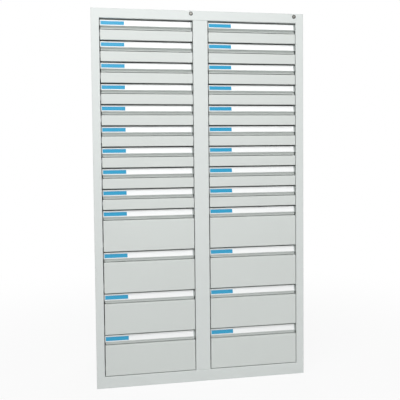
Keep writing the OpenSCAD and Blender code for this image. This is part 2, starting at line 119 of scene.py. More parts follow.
side_gap = 3                      # grip's end to the opening's edge
catch_y, catch_z, catch_h, catch_l = 31, 70, 12, 20     # the lock's catch on the drawer
stile_w, top_rail_h, bottom_rail_h = 42, 49, 60
carcass_t, carcass_bend_r = 1.5, 2.5
print("rollers", 2 * front_roller_r, "and", 2 * rear_roller_r, "mm across")

# %% Places that the frame knows, in millimetres
front_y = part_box("middle_partition")[0].y / MM
front_w = (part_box("grip_" + DRAWERS[0])[1].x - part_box("grip_" + DRAWERS[0])[0].x) / MM
tray_w = front_w + 2 * side_gap - 2 * runner_space
tray_y0 = grip_d + sheet_t + seam


def drawer_place(drawer):
    """Middle of a front's lower edge, and the front's height, both in millimetres."""
    low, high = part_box("grip_" + drawer)
    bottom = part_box("drawer_" + drawer)[0].z
    return Vector(((low.x + high.x) / 2 / MM, front_y, bottom / MM)), (high.z - bottom) / MM


places = {drawer: drawer_place(drawer) for drawer in DRAWERS}
print("front", round(front_w), "mm wide, heights", sorted({round(h) for _, h in places.values()}))

# %% [markdown]
# ## Small helpers
# Colours are written as sRGB hex values, the way a paint card gives them, and one function turns
# them to the linear values that shaders use. One function adds any node, with its settings and
# links, both for materials and for Geometry Nodes.

# %% Colour and node helpers
def linear(hex_colour):
    """The linear RGBA of an sRGB hex colour."""
    values = [int(hex_colour[k:k + 2], 16) / 255 for k in (1, 3, 5)]
    return [v / 12.92 if v <= 0.04045 else ((v + 0.055) / 1.055) ** 2.4 for v in values] + [1.0]


def add(tree, kind, inputs=None, **settings):
    """Adds a node. An input is given a value, or another node's output socket to link."""
    node = tree.nodes.new(kind)
    for name, value in settings.items():
        setattr(node, name, value)
    for name, value in (inputs or {}).items():
        if isinstance(value, bpy.types.NodeSocket):
            tree.links.new(value, node.inputs[name])
        else:
            node.inputs[name].default_value = value
    return node


# %% [markdown]
# ## Powder coat
# Powder coat is a baked plastic layer on steel. It gives a satin sheen and a fine orange-peel
# texture. The texture comes from a noise that bumps the surface at about 2.5 mm, drawn a little
# coarser than real so that it shows. A slow noise shifts the grey by a hair, as thickness does.

# %% Powder-coated steel
def shader(name, colour, roughness, metallic=0.0):
    """A material and its tree, Principled shader and Object coordinates.

    The colour and the roughness are what a viewer without nodes shows.
    """
    material = bpy.data.materials.new(name)
    material.use_nodes = True
    tree = material.node_tree
    surface = tree.nodes["Principled BSDF"]
    surface.inputs["Base Color"].default_value = linear(colour)
    surface.inputs["Roughness"].default_value = roughness
    surface.inputs["Metallic"].default_value = metallic
    place = add(tree, "ShaderNodeTexCoord").outputs["Object"]
    return material, tree, surface, place


COLOUR_A, COLOUR_B, MIXED_COLOUR = 6, 7, 2      # a Mix node's sockets for colours


def vary(tree, surface, place, per_metre, colours, roughness, detail=3.0):
    """Noise of so many repeats per metre between two colours and two roughnesses."""
    noise = add(tree, "ShaderNodeTexNoise", {
        "Vector": place, "Scale": per_metre, "Detail": detail})
    tone = add(tree, "ShaderNodeMix", {
        "Factor": noise.outputs["Fac"], COLOUR_A: linear(colours[0]),
        COLOUR_B: linear(colours[1])}, data_type="RGBA")
    tree.links.new(tone.outputs[MIXED_COLOUR], surface.inputs["Base Color"])
    gloss = add(tree, "ShaderNodeMapRange", {
        "Value": noise.outputs["Fac"], "To Min": roughness[0], "To Max": roughness[1]})
    tree.links.new(gloss.outputs["Result"], surface.inputs["Roughness"])


def bump(tree, surface, place, size_mm, depth_mm, strength):
    """A bumpy skin whose grains are about size_mm across."""
    grain = add(tree, "ShaderNodeTexNoise", {
        "Vector": place, "Scale": 1000 / size_mm, "Detail": 1.0})
    relief = add(tree, "ShaderNodeBump", {
        "Height": grain.outputs["Fac"], "Distance": depth_mm * MM, "Strength": strength})
    tree.links.new(relief.outputs["Normal"], surface.inputs["Normal"])


def powder_coat(name, light, dark):
    material, tree, surface, place = shader(name, light, roughness=0.45)
    vary(tree, surface, place, per_metre=2.2, colours=(dark, light), roughness=(0.40, 0.50))
    bump(tree, surface, place, size_mm=2.5, depth_mm=0.06, strength=0.35)
    return material


frame_paint = powder_coat("powder_coat_light_grey", "#E2E7E5", "#DDE2E0")
# The drawers' coat is the cabinet's light grey made a little darker: painted shade for the light
# that falls off over the drawers.
drawer_paint = powder_coat("powder_coat_drawer_grey", "#DDE2DF", "#D8DDDA")
print("powder coats made")

# %% [markdown]
# ## Card, ink and clear film
# The label is a white card under a clear film. Paper scatters light evenly, and the film adds a
# soft gloss, which a coat on the shader gives without a second surface to sort. The index insert
# is printed card: one flat blue with the faint mottle of ink on fibre.

# %% White card and blue index card
def film_covered_card(name, light, dark, fibre_mm):
    material, tree, surface, place = shader(name, light, roughness=0.55)
    vary(tree, surface, place, per_metre=1000 / fibre_mm, colours=(dark, light),
         roughness=(0.50, 0.60), detail=4.0)
    surface.inputs["Coat Weight"].default_value = 0.1
    surface.inputs["Coat Roughness"].default_value = 0.2
    return material


white_card = film_covered_card("white_card_under_film", "#FCFDFD", "#F7F9F9", fibre_mm=3.0)
blue_card = film_covered_card("blue_printed_card", "#129DC9", "#0893BF", fibre_mm=4.0)
print("cards made")

# %% [markdown]
# ## Metals and plastics of the mechanism
# The runners are zinc-plated, a bluish grey with cloudy patches left by the bath. The rollers are
# acetal, a hard white plastic with a waxy sheen. The locks are nickel-plated brass in chrome
# housings. The housings are drawn in a dark nickel grey, which is painted reflection of the dark
# bands that a chrome ring shows. The end caps of the grips are moulded ABS in the drawers' grey,
# and the stops that hold the cards are a darker grey, painted shade for the shadow at the grip's
# right end.

# %% Zinc, nickel, acetal and ABS
def zinc_plate(name):
    material, tree, surface, place = shader(name, "#C6CACD", roughness=0.38, metallic=1.0)
    vary(tree, surface, place, per_metre=90.0, colours=("#B4B9BD", "#D3D6D8"),
         roughness=(0.30, 0.48))
    return material


def nickel_plate(name, light, dark):
    material, tree, surface, place = shader(name, light, roughness=0.22, metallic=1.0)
    vary(tree, surface, place, per_metre=350.0, colours=(dark, light), roughness=(0.16, 0.30))
    return material


def moulded_plastic(name, light, dark, roughness):
    material, tree, surface, place = shader(name, light, roughness)
    vary(tree, surface, place, per_metre=60.0, colours=(dark, light),
         roughness=(roughness - 0.04, roughness + 0.04))
    bump(tree, surface, place, size_mm=1.2, depth_mm=0.03, strength=0.25)
    return material


zinc = zinc_plate("zinc_plated_steel")
nickel = nickel_plate("nickel_plated_brass", "#A5A49F", "#8C8B87")
# The housings' dark grey is painted reflection: it stands for the dark bands that a chrome ring
# reflects.
nickel_painted_dark_reflection = nickel_plate("nickel_plate_painted_dark_reflection", "#5C5B58", "#4A4947")
acetal = moulded_plastic("acetal_roller", "#ECEBE6", "#E2E1DB", roughness=0.38)
abs_cap = moulded_plastic("abs_end_cap", "#D3D7D5", "#CCD0CE", roughness=0.42)
# The stop's darker grey is painted shade: it stands for the shadow at the grip's right end.
abs_stop_painted_shade = moulded_plastic("abs_card_stop_painted_shade", "#A3A9A7", "#9CA2A0", roughness=0.42)
print("metals and plastics made")

# %% [markdown]
# ## Folded sheet
# A press brake bends flat sheet along straight lines, so a folded part is one thin rectangle swept
# along the line of its bends. It could be drawn as an outline and extruded, but the sweep keeps
# the wall true through every bend and takes its radius as an input. The tree rounds the corners
# of a line drawn in plan and sweeps the sheet's cross-section along it, up and down from the plan.

# %% Geometry Nodes tree for a folded sheet
def new_tree(name, sizes, objects=()):
    """A Geometry Nodes tree with named inputs, and the node that gives them."""
    tree = bpy.data.node_groups.new(name, "GeometryNodeTree")
    sockets = tree.interface
    sockets.new_socket("Geometry", in_out="INPUT", socket_type="NodeSocketGeometry")
    for label, value in sizes.items():
        kind = "NodeSocketInt" if isinstance(value, int) else "NodeSocketFloat"
        sockets.new_socket(label, in_out="INPUT", socket_type=kind).default_value = value
    for label in objects:
        sockets.new_socket(label, in_out="INPUT", socket_type="NodeSocketObject")
    sockets.new_socket("Material", in_out="INPUT", socket_type="NodeSocketMaterial")
    sockets.new_socket("Geometry", in_out="OUTPUT", socket_type="NodeSocketGeometry")
    return tree, add(tree, "NodeGroupInput")


def end_tree(tree, geometry, given):
    """Every tree ends in plain geometry with its material."""
    real = add(tree, "GeometryNodeRealizeInstances", {"Geometry": geometry})
    dressed = add(tree, "GeometryNodeSetMaterial", {
        "Geometry": real.outputs["Geometry"], "Material": given.outputs["Material"]})
    add(tree, "NodeGroupOutput", {"Geometry": dressed.outputs["Geometry"]})


def folded_sheet_tree():
    tree, given = new_tree("folded_sheet", {
        "Length": 0.1, "Thickness": 0.0012, "Bend radius": 0.0016, "Bend steps": 6})
    line = add(tree, "GeometryNodeMeshToCurve", {"Mesh": given.outputs["Geometry"]})
    bent = add(tree, "GeometryNodeFilletCurve", {
        "Curve": line.outputs["Curve"], "Radius": given.outputs["Bend radius"],
        "Count": given.outputs["Bend steps"], "Limit Radius": True}, mode="POLY")
    upright = add(tree, "GeometryNodeSetCurveNormal", {"Curve": bent.outputs["Curve"]}, mode="Z_UP")
    section = add(tree, "GeometryNodeCurvePrimitiveQuadrilateral", {
        "Width": given.outputs["Thickness"], "Height": given.outputs["Length"]})
    swept = add(tree, "GeometryNodeCurveToMesh", {
        "Curve": upright.outputs["Curve"], "Profile Curve": section.outputs["Curve"],
        "Fill Caps": True})
    end_tree(tree, swept.outputs["Mesh"], given)
    return tree


FOLDED_SHEET = folded_sheet_tree()

# %% [markdown]
# ## Copies of one part
# Rollers, axles, channels, studs and weld marks come in dozens. One tree puts a copy of a
# prototype on each point of a mesh and makes the copies real, because an instance is lost when
# the model leaves Blender. The prototype is modelled once, with few faces, and then thrown away.

# %% Geometry Nodes tree for copies on points
def copies_tree():
    tree, given = new_tree("copies_on_points", {"Size": 1.0}, objects=["Prototype"])
    prototype = add(tree, "GeometryNodeObjectInfo", {"Object": given.outputs["Prototype"]})
    copies = add(tree, "GeometryNodeInstanceOnPoints", {
        "Points": given.outputs["Geometry"], "Instance": prototype.outputs["Geometry"],
        "Scale": given.outputs["Size"]})
    end_tree(tree, copies.outputs["Instances"], given)
    return tree


COPIES = copies_tree()


def grown(tree, mesh, material, **inputs):
    """Runs a tree on a mesh and returns the plain mesh that it makes."""
    host = bpy.data.objects.new("host", mesh)
    bpy.context.scene.collection.objects.link(host)
    modifier = host.modifiers.new("nodes", "NODES")
    modifier.node_group = tree
    values = {"Material": material} | {k.replace("_", " "): v for k, v in inputs.items()}
    for socket in tree.interface.items_tree:
        if socket.in_out == "INPUT" and socket.name in values:
            modifier[socket.identifier] = values[socket.name]
    graph = bpy.context.evaluated_depsgraph_get()
    made = bpy.data.meshes.new_from_object(host.evaluated_get(graph))
    bpy.data.objects.remove(host)
    return made


# %% [markdown]
# ## From plans to pieces
# A sheet or an outline is easiest to draw flat, near the origin. Matrices then stand it up, mirror
# it and move it, so that one mesh serves every drawer. A finished piece gets its own copy, with
# smooth shading over bends and flat shading on panels, and rides on the body that carries it.

# %% Placing and joining meshes
ALONG_X = Matrix(((0, 0, 1, 0), (1, 0, 0, 0), (0, 1, 0, 0), (0, 0, 0, 1)))
ALONG_Y = Matrix.Rotation(math.pi / 2, 4, "X")
FLIP_X = Matrix.Scale(-1, 4, (1, 0, 0))
SMOOTH_BELOW = math.radians(28)     # the steps round a bend turn less than this, real edges more


def shift(x=0.0, y=0.0, z=0.0):
    """A move given in millimetres."""
    return Matrix.Translation(Vector((x, y, z)) * MM)


def fold(path, length, thickness=sheet_t, radius=bend_r, material=drawer_paint):
    """A folded sheet: its bend line in plan and its length, all in millimetres."""
    plan = bpy.data.meshes.new("plan")
    plan.from_pydata([(x * MM, y * MM, 0) for x, y in path],
                     [(k, k + 1) for k in range(len(path) - 1)], [])
    return grown(FOLDED_SHEET, plan, material, Length=length * MM, Thickness=thickness * MM,
                 Bend_radius=radius * MM)


def copies(prototype, points, material):
    """Copies of a mesh on points given in millimetres."""
    spots = bpy.data.meshes.new("spots")
    spots.from_pydata([Vector(p) * MM for p in points], [], [])
    part = bpy.data.objects.new("prototype", prototype)
    bpy.context.scene.collection.objects.link(part)
    made = grown(COPIES, spots, material, Prototype=part)
    bpy.data.objects.remove(part)
    return made


def joined(parts):
    """One mesh from (mesh, matrix) pairs. A mirroring matrix has its faces turned back outwards."""
    shape = bmesh.new()
    for mesh, matrix in parts:
        copy = mesh.copy()
        copy.transform(matrix)
        if matrix.determinant() < 0:
            copy.flip_normals()
        shape.from_mesh(copy)
        bpy.data.meshes.remove(copy)
    made = bpy.data.meshes.new("joined")
    shape.to_mesh(made)
    shape.free()
    return made


def piece(name, mesh, material, body, slot, at=Matrix()):
    """A finished piece: its own mesh moved to its place, smooth over bends, riding on its body."""
    own = mesh.copy()
    own.name = name
    own.transform(at)
    own.materials.clear()
    own.materials.append(material)
    own.polygons.foreach_set("material_index", [0] * len(own.polygons))
    own.polygons.foreach_set("use_smooth", [True] * len(own.polygons))
    own.set_sharp_from_angle(angle=SMOOTH_BELOW)
    thing = bpy.data.objects.new(name, own)
    bpy.context.scene.collection.objects.link(thing)
    normals = thing.modifiers.new("flat panels stay flat", "WEIGHTED_NORMAL")
    normals.mode = "FACE_AREA_WITH_ANGLE"
    normals.keep_sharp = True
    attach(thing, body)
    return thing


# %% [markdown]
# ## Drawer front
# The front is one sheet. From the bottom it is a short flange, the flat panel, the rising floor
# of the finger recess, and a part turned down on the tray. Two side flanges stiffen the panel. A
# crossbar, a plain angle, joins the tray's sides above it and carries the grip. The slot between
# floor and crossbar stays open: it looks into the drawer, so it stays dark in any light. The
# sheet keeps a little clear of the stiles and of the drawer below, so that every joint is a clean
# dark line. Each height of front is folded once and then copied to its drawers.

# %% Fold the fronts
panel_drop = lip_r + label_h * math.cos(label_tilt) + lip_r * math.sin(label_tilt) + recess_h
plate_foot = sheet_t / 2 + recess_rise * plate_d / grip_d - panel_drop + plate_gap


def front_mesh(h):
    half = sheet_t / 2
    back = grip_d + half
    floor = h - panel_drop
    notch = (front_flange, floor + recess_rise * (front_flange - half) / grip_d)
    sheet_w = front_w - 2 * sheet_inset
    low = sheet_inset + half
    sheet = fold([(front_flange, low), (half, low), (half, floor), notch], sheet_w)
    behind = fold([notch, (back, floor + recess_rise), (back, floor + recess_rise - weld_h)],
                  tray_w)
    crossbar = fold([(back, h + plate_foot + crossbar_up), (back, h - half),
                     (grip_d + front_flange, h - half)], tray_w)
    flange_h = floor - sheet_inset - 3 * sheet_t    # clear of the flange below and the floor
    flange = fold([(0, 0), (front_flange - sheet_t, 0)], flange_h)
    stand = Matrix.Rotation(math.pi / 2, 4, "Z")
    left = shift(half - sheet_w / 2, sheet_t, low + half + flange_h / 2) @ stand
    right = shift(sheet_w / 2 - half, sheet_t, low + half + flange_h / 2) @ stand
    return joined([(sheet, ALONG_X), (behind, ALONG_X), (crossbar, ALONG_X),
                   (flange, left), (flange, right)])


heights = sorted({h for _, h in places.values()})
front_meshes = {h: front_mesh(h) for h in heights}
for drawer, (place, h) in places.items():
    front = piece("front_" + drawer, front_meshes[h], drawer_paint, "drawer_" + drawer,
                  "drawer_paint", shift(*place))
    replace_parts(front, "drawer_" + drawer)
print("fronts", len(places), "faces in one", len(front_meshes[heights[0]].polygons))

# %% [markdown]
# ## Drawer tray
# Floor and sides are one folded sheet with the top edges turned over so that nobody is cut. The
# end walls are welded in; the front one stops under the finger recess. The welds leave flat round
# marks along the sides, where the rails sit outside. The lock's catch is an angle on the right.

# %% Fold the trays
def disc(radius, height, taper=0.8, segments=12):
    """A low round mark on the plan's origin, in millimetres, narrower at its top by the taper."""
    shape = bmesh.new()
    bmesh.ops.create_cone(shape, cap_ends=True, segments=segments, radius1=radius * MM,
                          radius2=radius * taper * MM, depth=height * MM,
                          matrix=shift(z=height / 2))
    made = bpy.data.meshes.new("disc")
    shape.to_mesh(made)
    shape.free()
    return made


def tray_mesh(h):
    x = tray_w / 2 - sheet_t / 2
    top, floor = h - side_drop, floor_z + sheet_t / 2
    length = tray_y1 - tray_y0
    body = fold([(-x + hem_w, top), (-x, top), (-x, floor), (x, floor), (x, top), (x - hem_w, top)],
                length)
    walls = []
    for y, wall_top in ((tray_y0 + sheet_t / 2, h - panel_drop - sheet_t / 2),
                        (tray_y1 - sheet_t / 2, top - sheet_t)):
        wall = fold([(-x + sheet_t, 0), (x - sheet_t, 0)], wall_top - floor - sheet_t)
        walls.append((wall, shift(y=y, z=(wall_top + floor + sheet_t) / 2)))
    inner = tray_w / 2 - sheet_t
    weld = disc(mark_r, mark_rise)
    weld.transform(Matrix.Rotation(-math.pi / 2, 4, "Y"))
    rows = [(inner, y, runner_z + dz)
            for y in range(mark_y0, mark_y1, mark_step) for dz in (-mark_dz, mark_dz)]
    welds = copies(weld, rows, drawer_paint)
    half = sheet_t / 2
    catch = fold([(runner_space - side_gap - seam, half), (half, half), (half, catch_l)], catch_h)
    return joined(walls + [
        (body, shift(y=(tray_y0 + tray_y1) / 2) @ ALONG_Y),
        (welds, Matrix()), (welds, FLIP_X),
        (catch, shift(tray_w / 2 + seam, catch_y, catch_z)),
    ])


tray_meshes = {h: tray_mesh(h) for h in heights}
for drawer, (place, h) in places.items():
    piece("tray_" + drawer, tray_meshes[h], drawer_paint, "drawer_" + drawer, "drawer_paint",
          shift(*place))
print("trays", len(places), "faces in one", len(tray_meshes[heights[0]].polygons))

# %% [markdown]
# ## Rails and rollers on the drawer
# Each side of the drawer carries an angle rail that runs on the cabinet's front roller, and a
# roller at its own rear end. A roller is turned, so its ring is an outline spun round its axle;
# it is modelled once and copied by the tree.

# %% Rails and rollers
def lathe(outline, segments=20):
    """Spins a closed outline of (radius, height) points round Z, in millimetres."""
    shape = bmesh.new()
    rings = []
    for k in range(segments):
        turn = 2 * math.pi * k / segments
        rings.append([shape.verts.new((r * MM * math.cos(turn), r * MM * math.sin(turn), z * MM))
                      for r, z in outline])
    for k in range(segments):
        here, there = rings[k], rings[(k + 1) % segments]
        for j in range(len(outline)):
            nxt = (j + 1) % len(outline)
            shape.faces.new((here[j], there[j], there[nxt], here[nxt]))
    bmesh.ops.remove_doubles(shape, verts=shape.verts, dist=0.001 * MM)
    bmesh.ops.recalc_face_normals(shape, faces=shape.faces)
    made = bpy.data.meshes.new("turned")
    shape.to_mesh(made)
    shape.free()
    return made


def roller(radius):
    """A roller lying along X from its inner face."""
    ring = lathe([(axle_r, 0), (radius - roller_edge, 0), (radius, roller_edge),
                  (radius, roller_w - roller_edge), (radius - roller_edge, roller_w),
                  (axle_r, roller_w)])
    ring.transform(Matrix.Rotation(math.pi / 2, 4, "Y"))
    return ring


def axle(length):
    """An axle lying along X, with a riveted head on its free end."""
    head_foot, head_top, tip = axle_r + 1, axle_r + 0.6, length + 0.8
    pin = lathe([(0, 0), (axle_r, 0), (axle_r, length), (head_foot, length), (head_top, tip),
                 (0, tip)])
    pin.transform(Matrix.Rotation(math.pi / 2, 4, "Y"))
    return pin


channel_x = runner_space - runner_t
roller_x = channel_x - channel_gap - roller_w
rear_roller_y = tray_y1 - rear_roller_back
rail_end = rear_roller_y - rear_roller_r - rail_clear


def rail_mesh():
    web = runner_t / 2 + seam
    flange = rail_flange_z + runner_t / 2
    angle = fold([(web, -rail_web_h), (web, flange), (channel_x - channel_gap, flange)],
                 rail_end - tray_y0, runner_t, rail_bend_r, material=zinc)
    tab = fold([(web, -rail_web_h), (web, rail_web_h)], tray_y1 - rail_end, runner_t,
               material=zinc)
    pin = copies(axle(roller_x + roller_w - web), [(web, rear_roller_y, 0)], zinc)
    side = joined([(angle, shift(y=(rail_end + tray_y0) / 2) @ ALONG_Y),
                   (tab, shift(y=(tray_y1 + rail_end) / 2) @ ALONG_Y), (pin, Matrix())])
    right = shift(tray_w / 2, 0, runner_z)
    return joined([(side, right), (side, FLIP_X @ right)])


def rear_rollers_mesh():
    side = copies(roller(rear_roller_r), [(tray_w / 2 + roller_x, rear_roller_y, runner_z)],
                  acetal)
    return joined([(side, Matrix()), (side, FLIP_X)])


rails, rear_rollers = rail_mesh(), rear_rollers_mesh()
for drawer, (place, _) in places.items():
    piece("rails_" + drawer, rails, zinc, "drawer_" + drawer, "zinc_steel", shift(*place))
    piece("rollers_" + drawer, rear_rollers, acetal, "drawer_" + drawer, None, shift(*place))
print("rails end", round(rail_end), "mm behind the front")

# %% [markdown]
# ## Grip
# The grip is a hollow aluminium extrusion, powder-coated like the drawer, with a sloping face, a
# rounded lip for the fingers and a groove for the label. An extrusion is a section pushed along a
# line, so the section is drawn point by point, with the lip as an arc, and given its length. A cap
# closes its left end, and a stop that holds the card closes the right. The stop's darker grey is
# painted shade for the shadow at the grip's right end. Behind the lip hangs the finger plate, a
# flat strip that leans forward and ends just above the recess's floor.

# %% Section of the grip
face_up = (math.sin(label_tilt), math.cos(label_tilt))
face_in = (math.cos(label_tilt), -math.sin(label_tilt))
label_foot = (lip_gap + lip_r * (1 - math.cos(label_tilt)), -label_h * math.cos(label_tilt))
lip_centre = (label_foot[0] + lip_r * face_in[0], label_foot[1] + lip_r * face_in[1])


def on_face(up, deep):
    """The point up the label face and deep behind it, as (depth, height)."""
    return tuple(label_foot[k] + up * face_up[k] + deep * face_in[k] for k in (0, 1))


def grip_outline(groove):
    """The grip's section from the lip round the back, with or without the label's groove."""
    start, sweep, steps = math.pi - label_tilt, math.pi + label_tilt, 10
    lip = [(lip_centre[0] + lip_r * math.cos(start + sweep * k / steps),
            lip_centre[1] + lip_r * math.sin(start + sweep * k / steps)) for k in range(steps + 1)]
    hook = lip_centre[1] - lip_r + hook_h
    rear = [(lip_centre[0] + lip_r, hook), (grip_d, hook), (grip_d, 0), on_face(label_h, 0)]
    if not groove:
        return lip + rear
    top_edge = label_h - groove_edge
    return lip + rear + [on_face(top_edge, 0), on_face(top_edge, groove_d),
                         on_face(groove_edge, groove_d), on_face(groove_edge, 0)]


print("grip section", len(grip_outline(True)), "points, its end caps", len(grip_outline(False)))

# %% Extrude the grips and their caps
BEVEL_ABOVE = math.radians(40)      # an edge that turns more than this is bevelled


def prism(outline, length, bevel=0.0):
    """An outline in plan pushed to a length along Z, both ways from the plan, in millimetres."""
    shape = bmesh.new()
    base = shape.faces.new([shape.verts.new((x * MM, y * MM, -length / 2 * MM))
                            for x, y in outline])
    moved = bmesh.ops.extrude_face_region(shape, geom=[base])["geom"]
    bmesh.ops.translate(shape, verts=[v for v in moved if isinstance(v, bmesh.types.BMVert)],
                        vec=(0, 0, length * MM))
    bmesh.ops.recalc_face_normals(shape, faces=shape.faces)
    if bevel:
        rim = [e for e in shape.edges if e.calc_face_angle(0) > BEVEL_ABOVE]
        bmesh.ops.bevel(shape, geom=rim, offset=bevel * MM, segments=2, profile=0.5,
                        affect="EDGES", clamp_overlap=True)
    made = bpy.data.meshes.new("prism")
    shape.to_mesh(made)
    shape.free()
    return made


def along(outline, start, length, bevel):
    """An outline of (depth, height) points pushed along X from a start, in millimetres."""
    return joined([(prism(outline, length, bevel), shift(x=start + length / 2) @ ALONG_X)])


def finger_plate_outline():
    top = (grip_d - seam - plate_t, lip_centre[1] - lip_r + hook_h - seam)
    return [top, (plate_d, plate_foot), (plate_d + plate_t, plate_foot), (top[0] + plate_t, top[1])]


profile_x0 = cap_t + seam - front_w / 2
profile_w = front_w - cap_t - stop_t - 2 * seam
profile = along(grip_outline(True), profile_x0, profile_w, profile_bevel)
plate = along(finger_plate_outline(), cap_t - front_w / 2, front_w - 2 * cap_t, plate_bevel)
cap = along(grip_outline(False), -front_w / 2, cap_t, cap_bevel)
stop = along(grip_outline(False), front_w / 2 - stop_t, stop_t, cap_bevel)
for drawer, (place, h) in places.items():
    top, body = shift(*place) @ shift(z=h), "drawer_" + drawer
    grip = piece("grip_" + drawer + "_profile", profile, drawer_paint, body, "drawer_paint", top)
    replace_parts(grip, "grip_" + drawer)
    piece("finger_plate_" + drawer, plate, drawer_paint, body, "drawer_paint", top)
    piece("cap_" + drawer, cap, abs_cap, body, "drawer_paint", top)
    # The stop's darker grey is painted shade at the grip's right end.
    piece("stop_" + drawer, stop, abs_stop_painted_shade, body, "drawer_paint", top)
print("grip profile", round(profile_w), "mm long")

# %% [markdown]
# ## Label card and index insert
# The card slides into the groove and its edges stay under the groove's lips. The blue index
# insert lies on its left end with white above and below. Both are thin plates that lean with the
# face, so one function places them by their distance up the face and behind it.

# %% Cards in the grooves
def in_groove(start, length, height, deep, thick, up=0.0):
    """A thin plate that stands in the label groove, in the grip's own frame."""
    low = groove_edge + play + up
    high, back = low + height, deep + thick
    corners = [on_face(low, deep), on_face(low, back), on_face(high, back), on_face(high, deep)]
    return along(corners, start, length, bevel=0)


card_deep = groove_d - seam - card_t
card = in_groove(profile_x0 + play, profile_w - card_end - play,
                 label_h - 2 * groove_edge - 2 * play, card_deep, card_t)
insert = in_groove(profile_x0 + insert_x, insert_w, insert_h, card_deep - seam - insert_t,
                   insert_t, insert_up)
for drawer, (place, h) in places.items():
    top = shift(*place) @ shift(z=h)
    piece("card_" + drawer, card, white_card, "drawer_" + drawer, "grip_label", top)
    piece("index_" + drawer, insert, blue_card, "drawer_" + drawer, "grip_label", top)
print("cards", len(places))

# %% [markdown]
# ## Runner channels in the cabinet
# Every drawer has a channel on each side, fixed to the stile and the rear post, with a roller at
# its front. All 52 are alike, so one is folded, mirrored for the other side, and copied.

# %% Channels and front rollers
channel_y0 = front_roller_y - front_roller_r - channel_front
channel_y1 = tray_y1 + channel_rear
channel_lip = runner_t + seam + channel_gap
channel_wall = runner_space - runner_t / 2
channel_half = channel_h / 2 + runner_t / 2
channel = fold([(channel_lip, -channel_half), (channel_wall, -channel_half),
                (channel_wall, channel_half), (channel_lip, channel_half)],
               channel_y1 - channel_y0, runner_t, channel_bend_r, material=zinc)
right_runner = joined([
    (channel, shift(y=(channel_y0 + channel_y1) / 2) @ ALONG_Y),
    (copies(axle(channel_x - roller_x), [(roller_x, front_roller_y, -front_roller_drop)], zinc),
     Matrix())])
right_runner.transform(shift(tray_w / 2))
left_runner = joined([(right_runner, FLIP_X)])
right_roller = roller(front_roller_r)
right_roller.transform(shift(tray_w / 2 + roller_x, front_roller_y, -front_roller_drop))
left_roller = joined([(right_roller, FLIP_X)])
middles = [place + Vector((0, 0, runner_z)) for place, _ in places.values()]
runners = joined([(copies(side, middles, zinc), Matrix())
                  for side in (right_runner, left_runner)])
rollers = joined([(copies(side, middles, acetal), Matrix())
                  for side in (right_roller, left_roller)])
channels = piece("runner_channels_zinc", runners, zinc, "cabinet", "zinc_steel")
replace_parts(channels, "runner_channels")
piece("front_rollers", rollers, acetal, "cabinet", None)
print("channels", 2 * len(middles), "faces", len(runners.polygons))

# %% [markdown]
# ## Carcass, partition, locks
# The frame already has the true shape of the fixed sheet metal and of the locks, with every slot
# and window. Its meshes are loose triangles with flat bends, so a merged copy of each stands in:
# merging lets the shading run smoothly round a bend. The lock housings belong to the carcass node,
# so the copy is taken apart into its separate solids, and those round a lock's axis get a dark
# nickel grey. This is painted reflection of the dark bands that a chrome ring shows.

# %% Merged copies of the frame's own parts
def merged_copy(node):
    """A bmesh of a CAD node with its doubled points merged."""
    shape = bmesh.new()
    shape.from_mesh(frame["nodes"][node].data)
    bmesh.ops.remove_doubles(shape, verts=shape.verts, dist=0.001 * MM)
    return shape


def solids(shape):
    """The faces of each separate solid in a bmesh."""
    left = set(shape.faces)
    while left:
        solid, front = set(), [left.pop()]
        while front:
            face = front.pop()
            solid.add(face)
            near = {other for edge in face.edges for other in edge.link_faces} & left
            left -= near
            front += near
        yield solid


def part_of(shape, keep):
    """A mesh of the solids for which keep(middle) is true."""
    copy = shape.copy()
    drop = [face for solid in solids(copy) for face in solid
            if not keep(sum((f.calc_center_median() for f in solid), Vector()) / len(solid))]
    bmesh.ops.delete(copy, geom=drop, context="FACES")
    made = bpy.data.meshes.new("part")
    copy.to_mesh(made)
    copy.free()
    return made


# %% Dress the fixed sheet metal and the locks
lock_axes = [Vector(j["pos_m"]) for j in frame["joints"] if j["type"] == "hinge"]
housing_r = 10.05 * MM      # just over the real radius, so that rounding leaves nothing out


def round_a_lock(point):
    """Whether a point lies within the lock housing's radius of a lock's axis."""
    return any(math.hypot(point.x - a.x, point.z - a.z) < housing_r for a in lock_axes)


carcass = merged_copy("carcass")
sheets = piece("carcass_sheets", part_of(carcass, lambda c: not round_a_lock(c)), frame_paint,
               "cabinet", "cabinet_paint")
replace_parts(sheets, "carcass")
# The housings take the dark grey, a painted reflection of the dark bands on a chrome ring.
piece("lock_housings", part_of(carcass, round_a_lock), nickel_painted_dark_reflection, "cabinet", "lock_chrome")
for node, material, body, slot in [
        ("middle_partition", frame_paint, "cabinet", "cabinet_paint"),
        ("back_panel", frame_paint, "cabinet", "cabinet_paint"),
        ("lock_cylinder_left", nickel, "lock_cylinder_left", "lock_chrome"),
        ("lock_cylinder_right", nickel, "lock_cylinder_right", "lock_chrome"),
        ("lock_bar_left", zinc, "lock_bar_left", "zinc_steel"),
        ("lock_bar_right", zinc, "lock_bar_right", "zinc_steel")]:
    copy = part_of(merged_copy(node), lambda c: True)
    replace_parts(piece(node + "_dressed", copy, material, body, slot), node)
print("carcass faces", len(carcass.faces))

# %% [markdown]
# ## Corner welds
# A rail's square end meets the round bend of a stile. On the real cabinet the groove between them
# is welded and ground flush before it is painted, so the joint hardly shows. The weld has the
# groove's own section, an arc and two straight sides, and is pushed to the rail's height.

# %% Fill the grooves beside the rails
def corner_weld(rail_h):
    """The weld beside a rail, from the stile's inner edge, with its lower end on the plan."""
    reach, steps, end = carcass_bend_r + carcass_t / 2, 6, carcass_t + seam
    turns = [math.pi / 2 * k / steps for k in range(steps + 1)]
    arc = [(reach * (math.sin(a) - 1), reach * (1 - math.cos(a))) for a in turns]
    height = rail_h - end - reach
    return joined([(prism(arc + [(seam, reach), (seam, 0)], height), shift(z=end + height / 2))])


